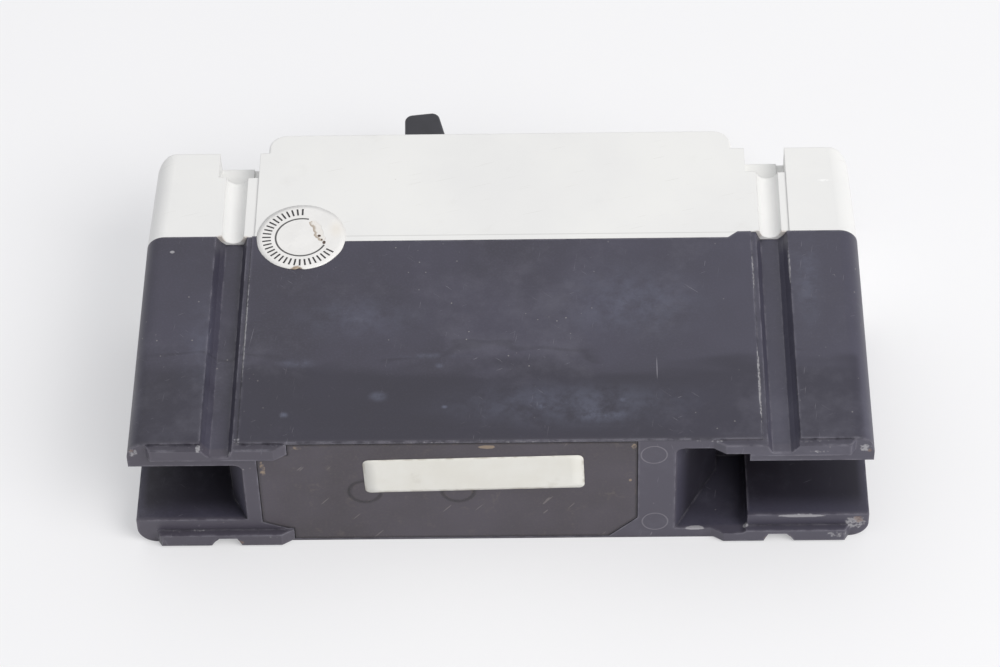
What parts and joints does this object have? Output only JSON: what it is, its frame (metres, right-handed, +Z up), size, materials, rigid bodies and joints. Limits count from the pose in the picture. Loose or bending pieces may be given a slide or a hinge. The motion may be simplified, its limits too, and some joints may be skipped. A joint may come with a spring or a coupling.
{
  "type": "gfci breaker",
  "caption": "Single-pole ground-fault breaker in a moulded case with wire chambers at both ends, side mounting grooves, feet, a toggle and a test button",
  "frame": {"origin": "centre of the back mounting face", "axes": "+X along the case from the line end to the load end, +Y from the back face to the toggle, +Z up across the width, with the breaker lying on its wide side"},
  "size_m": [0.1238, 0.0882, 0.0254],
  "materials": {
    "base_plastic": "moulded, lightly scuffed",
    "cover_plastic": "moulded, satin",
    "plate_plastic": "matte",
    "toggle_plastic": "satin",
    "zinc_steel": "zinc plated",
    "aluminium": "extruded",
    "copper": "copper",
    "contact_metal": "silver alloy",
    "fibre": "pressed fibre",
    "ferrite": "sintered",
    "insulated_wire": "insulated",
    "board": "laminate",
    "components": "coated"
  },
  "bodies": {
    "case": {"arc_plates": "zinc_steel", "arc_side_boards": "fibre", "arm_pin": "zinc_steel", "armature_pin": "zinc_steel", "back_plate": "plate_plastic", "base_housing": "base_plastic", "bimetal": "contact_metal", "board_capacitors": "components", "board_chip": "ferrite", "board_resistors": "components", "board_thyristor": "ferrite", "board_varistor": "components", "calibration_screw": "zinc_steel", "circuit_board": "board", "cover_screws": "zinc_steel", "fixed_contact": "contact_metal", "flexible_braid": "copper", "front_cover": "cover_plastic", "handle_pin": "zinc_steel", "lever_pin": "zinc_steel", "line_lug": "aluminium", "line_strap": "copper", "load_lug": "aluminium", "load_strap": "copper", "magnet_yoke": "zinc_steel", "mechanism_frame": "zinc_steel", "neutral_lead": "insulated_wire", "neutral_plate": "copper", "plate_plugs": "plate_plastic", "plate_screws": "zinc_steel", "plunger_spring": "zinc_steel", "sense_core": "ferrite", "sense_leads": "insulated_wire", "sense_winding": "copper", "solenoid_bobbin": "fibre", "solenoid_coil": "copper", "solenoid_frame": "zinc_steel", "test_blade": "copper", "test_bracket": "fibre", "test_spring": "zinc_steel"},
    "handle": {"toggle_handle": "toggle_plastic", "handle_arm": "zinc_steel", "main_spring": "zinc_steel"},
    "contact_arm": {"contact_arm": "copper", "moving_contact": "contact_metal"},
    "trip_lever": {"trip_lever": "zinc_steel"},
    "armature": {"armature": "zinc_steel"},
    "plunger": {"plunger": "zinc_steel"},
    "test_button": {"test_button": "cover_plastic"},
    "line_screw": {"line_lug_screw": "zinc_steel"},
    "load_screw": {"load_lug_screw": "zinc_steel"},
    "neutral_screw": {"neutral_screw": "zinc_steel"}
  },
  "joints": [
    {"name": "handle_pivot", "type": "hinge", "parent": "case", "child": "handle", "pos_m": [-0.0112, 0.058, 0], "axis": [0, 0, -1], "range_deg": [-11.5, 28.5], "deforming": ["main_spring"]},
    {"name": "contact_arm_pivot", "type": "hinge", "parent": "case", "child": "contact_arm", "pos_m": [0.002, 0.042, 0], "axis": [0, 0, 1], "range_deg": [-5.8, 12.1], "deforming": ["flexible_braid"]},
    {"name": "trip_lever_pivot", "type": "hinge", "parent": "case", "child": "trip_lever", "pos_m": [-0.017, 0.05, 0], "axis": [0, 0, 1], "range_deg": [0, 6]},
    {"name": "armature_pivot", "type": "hinge", "parent": "case", "child": "armature", "pos_m": [0.0126, 0.04, 0], "axis": [0, 0, -1], "range_deg": [0, 7.17]},
    {"name": "plunger_travel", "type": "slide", "parent": "case", "child": "plunger", "axis": [1, 0, 0], "range_m": [0, 0.0025], "stiffness_N_per_m": 60, "springref_m": -0.001, "deforming": ["plunger_spring"]},
    {"name": "test_button_travel", "type": "slide", "parent": "case", "child": "test_button", "axis": [0, -1, 0], "range_m": [0, 0.0015], "stiffness_N_per_m": 400, "springref_m": -0.0005, "deforming": ["test_spring"]},
    {"name": "line_screw_travel", "type": "slide", "parent": "case", "child": "line_screw", "axis": [0, -1, 0], "range_m": [0, 0.005]},
    {"name": "load_screw_travel", "type": "slide", "parent": "case", "child": "load_screw", "axis": [0, -1, 0], "range_m": [0, 0.005]},
    {"name": "neutral_screw_travel", "type": "slide", "parent": "case", "child": "neutral_screw", "axis": [0, -1, 0], "range_m": [0, 0.004]}
  ],
  "couplings": [
    {"joint": "contact_arm_pivot", "follows": "handle_pivot", "ratio": 0.42105},
    {"joint": "armature_pivot", "follows": "plunger_travel", "rad_per_m": 50}
  ]
}
